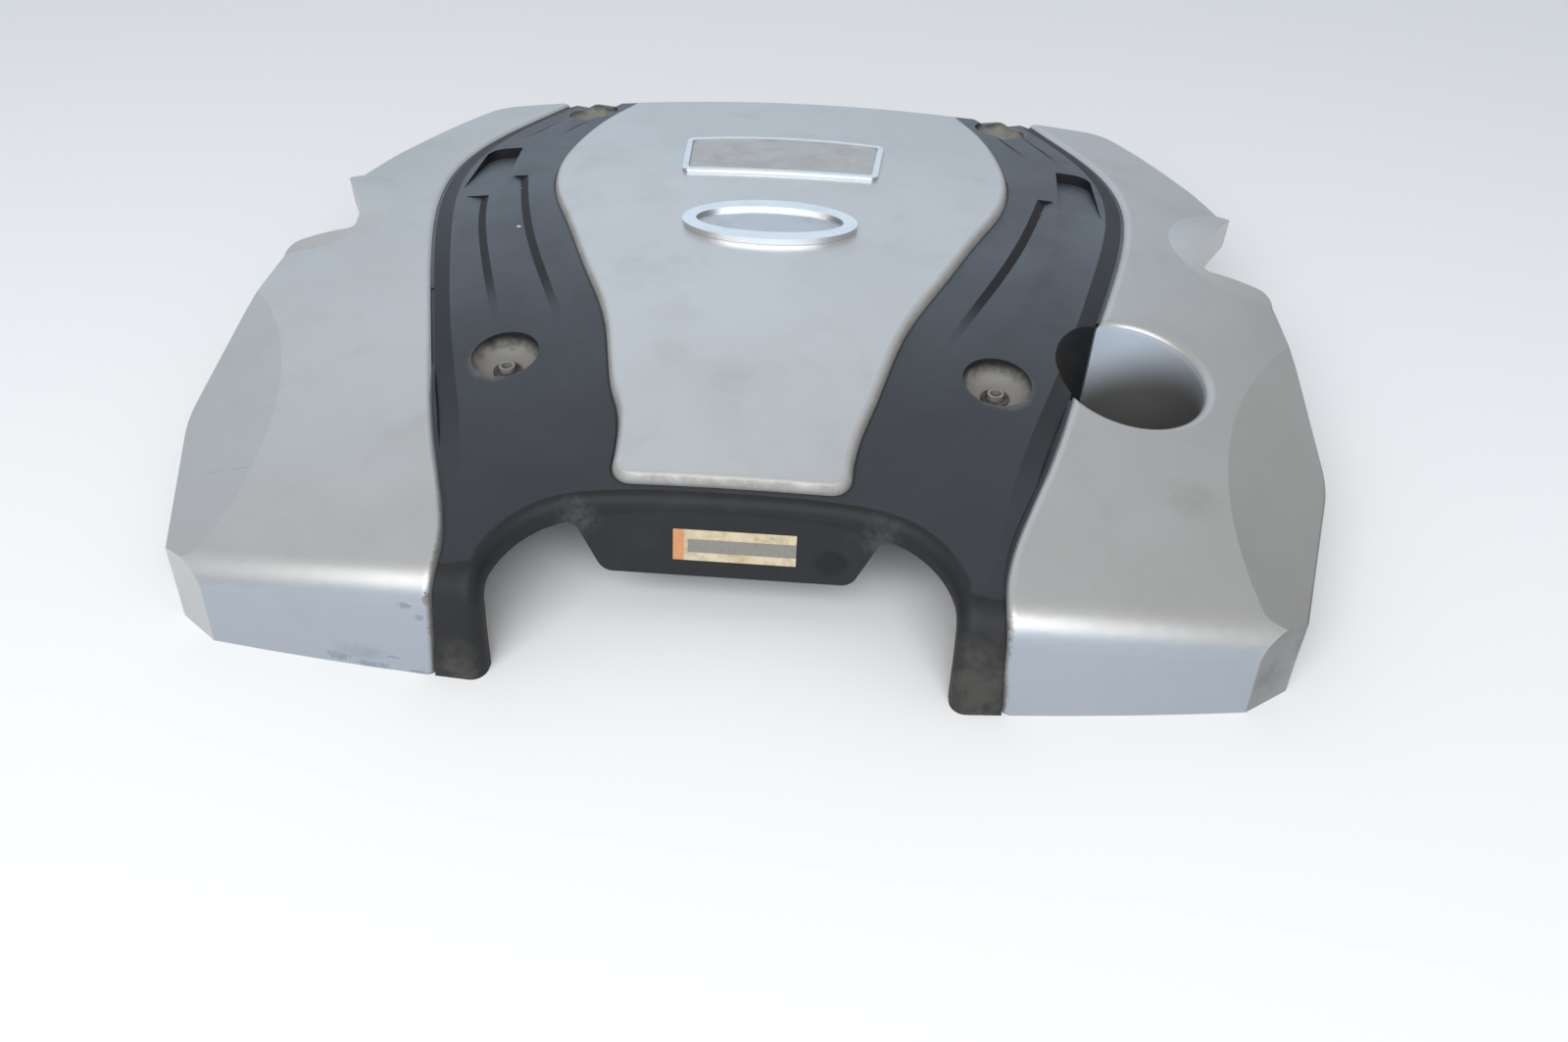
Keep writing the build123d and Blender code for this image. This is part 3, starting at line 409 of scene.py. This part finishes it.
    # Painted light and shade in the filler well: its upright walls are washed pale blue as painted light,
    # darker towards the bottom as painted shade, and made less metallic.
    upright = math_node(tree, "SUBTRACT", 1.0, facing_up(tree, low=0.05, high=0.60))
    in_well = patch(
        tree, (0.2180, -0.0830, 0.045), (0.075, 0.075, 0.095), grain=8.0, least=0.03, softness=0.06
    )
    well_walls = math_node(tree, "MULTIPLY", upright, in_well)
    height = math_node(tree, "SUBTRACT", spot["Z"], math_node(tree, "MULTIPLY", spot["X"], 0.5))
    well_low_shade = math_node(tree, "SUBTRACT", 1.0, smooth_step(tree, height, -0.080, -0.036))
    well_low_shade = math_node(tree, "MULTIPLY", well_walls, well_low_shade)
    colour = lay_colour(tree, colour, well_light_blue, well_walls, 0.9)
    colour = lay_colour(tree, colour, well_shade_dark, well_low_shade, 0.95)
    dull_mask = math_node(tree, "MAXIMUM", dull_mask, math_node(tree, "MULTIPLY", well_walls, 0.9))
    finish_paint(tree, shader, colour, drift, dull_mask)
    return material


panel_silver = panel_paint()
for side in ("right", "left"):
    dress("side_panel_" + side, panel_silver)


# Raised centre panel.
# The same silver moulding, a crowned tray that drops into a shallow recess of the base.
# Brown dirt lies along its rounded edge, and heat stakes hold it from below.
def centre_paint():
    """Silver paint with dirt along the rounded edge."""
    fresh = (0.600, 0.610, 0.618)
    dusty = (0.550, 0.550, 0.545)
    edge_brown = (0.235, 0.210, 0.170)
    streak_grey = (0.400, 0.380, 0.350)
    material, tree, shader, colour, drift = silver_paint("centre_paint", fresh, dusty)
    tilted = math_node(tree, "SUBTRACT", 1.0, facing_up(tree, low=0.60, high=0.97))
    edge_clouds = dust(tree, scale=90.0, low=0.30, high=0.70)
    ragged = math_node(tree, "MULTIPLY", tilted, ramp(tree, edge_clouds, 0.55, 1.0))
    streak = patch(
        tree, (-0.02, -0.13, 0.095), (0.075, 0.080, 0.060), grain=26.0, least=0.10, softness=0.45
    )
    colour = lay_colour(tree, colour, edge_brown, ragged, 0.80)
    colour = lay_colour(tree, colour, streak_grey, streak, 0.30)
    finish_paint(tree, shader, colour, drift, math_node(tree, "MULTIPLY", ragged, 0.8))
    return material


dress("centre_panel", centre_paint())


# Badge plate at the rear of the centre panel.
# A plated plastic frame round a pale matte face, stuck down with tape.
# The face is plain and faintly mottled with dust.
def plated(name, colour, roughness):
    """Bright plating with a light haze of dust."""
    material, tree, shader = new_material(name)
    haze = dust(tree, scale=60.0, low=0.42, high=0.86)
    dulled = tuple(0.8 * part for part in colour)
    tree.links.new(lay_colour(tree, colour, dulled, haze, 0.6), shader.inputs["Base Color"])
    tree.links.new(ramp(tree, haze, roughness, roughness + 0.10), shader.inputs["Roughness"])
    tree.links.new(grain_normal(tree, scale=700.0, strength=0.03, depth=0.0002), shader.inputs["Normal"])
    shader.inputs["Metallic"].default_value = 1.0
    return material


def pale_face():
    """Pale satin sheet behind the frame."""
    material, tree, shader = new_material("pale_face")
    clean_face = (0.45, 0.455, 0.46)
    mottled_face = (0.40, 0.39, 0.38)
    haze = dust(tree, scale=70.0, low=0.38, high=0.76)
    colour = lay_colour(tree, clean_face, mottled_face, haze, 1.0)
    tree.links.new(colour, shader.inputs["Base Color"])
    tree.links.new(ramp(tree, haze, 0.42, 0.58), shader.inputs["Roughness"])
    tree.links.new(grain_normal(tree, scale=1100.0, strength=0.06, depth=0.0002), shader.inputs["Normal"])
    return material


bright_plate = plated("bright_plate", (0.78, 0.79, 0.80), 0.18)
dress("badge_frame", bright_plate)
dress("badge_face", pale_face())


# Plaque in front of the badge plate.
# A plain oval ring with a satin middle, plated like the badge frame.
# It is clipped and glued through the centre panel.
dress("plaque_rim", bright_plate)
dress("plaque_face", plated("satin_plate", (0.56, 0.57, 0.58), 0.34))


# Paper label on the apron.
# A blank printed ticket with an orange end, cream borders and a grey band, yellowed and rubbed.
# It is stuck flat on the black plate under the arch.
def ticket_paper():
    """Paper with its colour fields laid out across the label."""
    material, tree, shader = new_material("ticket_paper")
    cream = (0.60, 0.51, 0.34)
    stained_cream = (0.42, 0.34, 0.21)
    band_grey = (0.225, 0.215, 0.195)
    orange_end = (0.58, 0.26, 0.11)
    rubbed_brown = (0.15, 0.12, 0.08)
    low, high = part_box("part_label")
    width = high[0] - low[0]
    height = high[2] - low[2]
    place = add_node(tree, "ShaderNodeTexCoord").outputs["Object"]
    parts = add_node(tree, "ShaderNodeSeparateXYZ", inputs={"Vector": place}).outputs
    orange = math_node(tree, "LESS_THAN", parts["X"], low[0] + 0.09 * width)
    inner = math_node(tree, "GREATER_THAN", parts["X"], low[0] + 0.12 * width)
    over = math_node(tree, "GREATER_THAN", parts["Z"], low[2] + 0.27 * height)
    under = math_node(tree, "LESS_THAN", parts["Z"], low[2] + 0.70 * height)
    band = math_node(tree, "MULTIPLY", inner, math_node(tree, "MULTIPLY", over, under))
    stain = dust(tree, scale=130.0, low=0.40, high=0.75)
    colour = lay_colour(tree, cream, stained_cream, stain, 1.0)
    colour = lay_colour(tree, colour, band_grey, band, 1.0)
    colour = lay_colour(tree, colour, orange_end, orange, 1.0)
    colour = lay_colour(tree, colour, rubbed_brown, dust(tree, scale=420.0, low=0.50, high=0.72), 0.35)
    tree.links.new(colour, shader.inputs["Base Color"])
    tree.links.new(ramp(tree, stain, 0.62, 0.80), shader.inputs["Roughness"])
    tree.links.new(grain_normal(tree, scale=2200.0, strength=0.12, depth=0.0001), shader.inputs["Normal"])
    return material


dress("part_label", ticket_paper())


# Steel sleeves and rubber grommets of the four mounts.
# A zinc-plated tube passes through each column to take the bolt, and a soft ring seats round its head.
# Their heads stand in the pockets, dusty, with the tube's rim rubbed bright.
def zinc_steel():
    """Zinc plate with dull stains."""
    material, tree, shader = new_material("zinc_steel")
    zinc_grey = (0.33, 0.32, 0.30)
    stain_brown = (0.22, 0.20, 0.175)
    stain = dust(tree, scale=260.0, low=0.42, high=0.75)
    colour = lay_colour(tree, zinc_grey, stain_brown, stain, 1.0)
    tree.links.new(colour, shader.inputs["Base Color"])
    tree.links.new(ramp(tree, stain, 0.46, 0.62), shader.inputs["Roughness"])
    tree.links.new(grain_normal(tree, scale=1500.0, strength=0.05, depth=0.0002), shader.inputs["Normal"])
    shader.inputs["Metallic"].default_value = 0.4
    return material


def dusty_rubber():
    """Black rubber under brown silt."""
    material, tree, shader = new_material("dusty_rubber")
    rubber_black = (0.030, 0.028, 0.026)
    silt_brown = (0.120, 0.098, 0.078)
    silt = dust(tree, scale=210.0, low=0.34, high=0.70)
    colour = lay_colour(tree, rubber_black, silt_brown, silt, 1.0)
    tree.links.new(colour, shader.inputs["Base Color"])
    tree.links.new(ramp(tree, silt, 0.70, 0.88), shader.inputs["Roughness"])
    tree.links.new(grain_normal(tree, scale=1600.0, strength=0.15, depth=0.0003), shader.inputs["Normal"])
    return material


zinc = zinc_steel()
rubber = dusty_rubber()
for corner in ("front_right", "front_left", "rear_right", "rear_left"):
    dress("mount_sleeve_" + corner, zinc)
    dress("mount_grommet_" + corner, rubber)


# Studio round the cover.
# A plain white floor, a pale surround with a cool glow behind and in front, and a soft lamp over the camera.
# The camera stands where the photographer stood, in front of the cover and above it.
floor_mesh = bpy.data.meshes.new("floor")
floor_shape = bmesh.new()
bmesh.ops.create_grid(floor_shape, x_segments=1, y_segments=1, size=6.0)
floor_shape.to_mesh(floor_mesh)
floor_shape.free()
floor = bpy.data.objects.new("floor", floor_mesh)
scene.collection.objects.link(floor)
floor_white, floor_tree, floor_shader = new_material("floor_white")
floor_shader.inputs["Base Color"].default_value = (0.93, 0.93, 0.93, 1.0)
floor_shader.inputs["Roughness"].default_value = 0.9
floor_shader.inputs["Specular IOR Level"].default_value = 0.1
floor.data.materials.append(floor_white)

world = bpy.data.worlds.new("surround")
scene.world = world
world.use_nodes = True
surround = world.node_tree
direction = add_node(surround, "ShaderNodeTexCoord").outputs["Generated"]
rise = add_node(surround, "ShaderNodeSeparateXYZ", inputs={"Vector": direction}).outputs["Z"]
sky = add_node(surround, "ShaderNodeValToRGB", inputs={"Fac": rise})
sky_stops = sky.color_ramp.elements
sky_stops[0].color = (0.20, 0.20, 0.21, 1.0)
sky_stops[1].color = (0.52, 0.52, 0.52, 1.0)
sky_steps = (
    (0.20, (0.26, 0.26, 0.27)),
    (0.45, (0.38, 0.39, 0.40)),
    (0.70, (0.47, 0.47, 0.48)),
)
for share, colour in sky_steps:
    sky_stops.new(share).color = (*colour, 1.0)


def glow(under, towards, low, high, colour):
    """Adds soft light from one side of the surround."""
    ends = {0: direction, 1: towards}
    lean = add_node(surround, "ShaderNodeVectorMath", {"operation": "DOT_PRODUCT"}, ends)
    mask = smooth_step(surround, lean.outputs["Value"], low, high)
    light = lay_colour(surround, (0.0, 0.0, 0.0), colour, mask, 1.0)
    both = add_node(surround, "ShaderNodeVectorMath", {"operation": "ADD"}, {0: under, 1: light})
    return both.outputs["Vector"]


light = glow(sky.outputs["Color"], (-0.25, 0.90, 0.36), 0.60, 0.98, (0.42, 0.54, 0.66))
light = glow(light, (0.0, -0.97, 0.24), 0.70, 0.98, (0.52, 0.72, 0.96))
surround.links.new(light, surround.nodes["Background"].inputs["Color"])

lamp = bpy.data.lights.new("high_lamp", "AREA")
lamp.shape = "RECTANGLE"
lamp.size = 2.4
lamp.size_y = 1.0
lamp.energy = 31.0
lamp.color = (1.0, 0.985, 0.955)
lamp_holder = bpy.data.objects.new("high_lamp", lamp)
lamp_holder.location = (-0.15, -1.60, 1.42)
lamp_aim = Vector((0.0, -0.25, 0.05)) - lamp_holder.location
lamp_holder.rotation_euler = lamp_aim.to_track_quat("-Z", "Y").to_euler()
scene.collection.objects.link(lamp_holder)

camera_data = bpy.data.cameras.new("camera")
camera_data.sensor_width = 36.0
camera_data.lens = 27.45
camera_data.clip_start = 0.01
camera = bpy.data.objects.new("camera", camera_data)
camera.location = (0.061, -0.6729, 0.4623)
camera.rotation_euler = (math.radians(49.06), math.radians(-0.75), math.radians(4.635))
scene.collection.objects.link(camera)
scene.camera = camera
scene.view_settings.view_transform = "Standard"
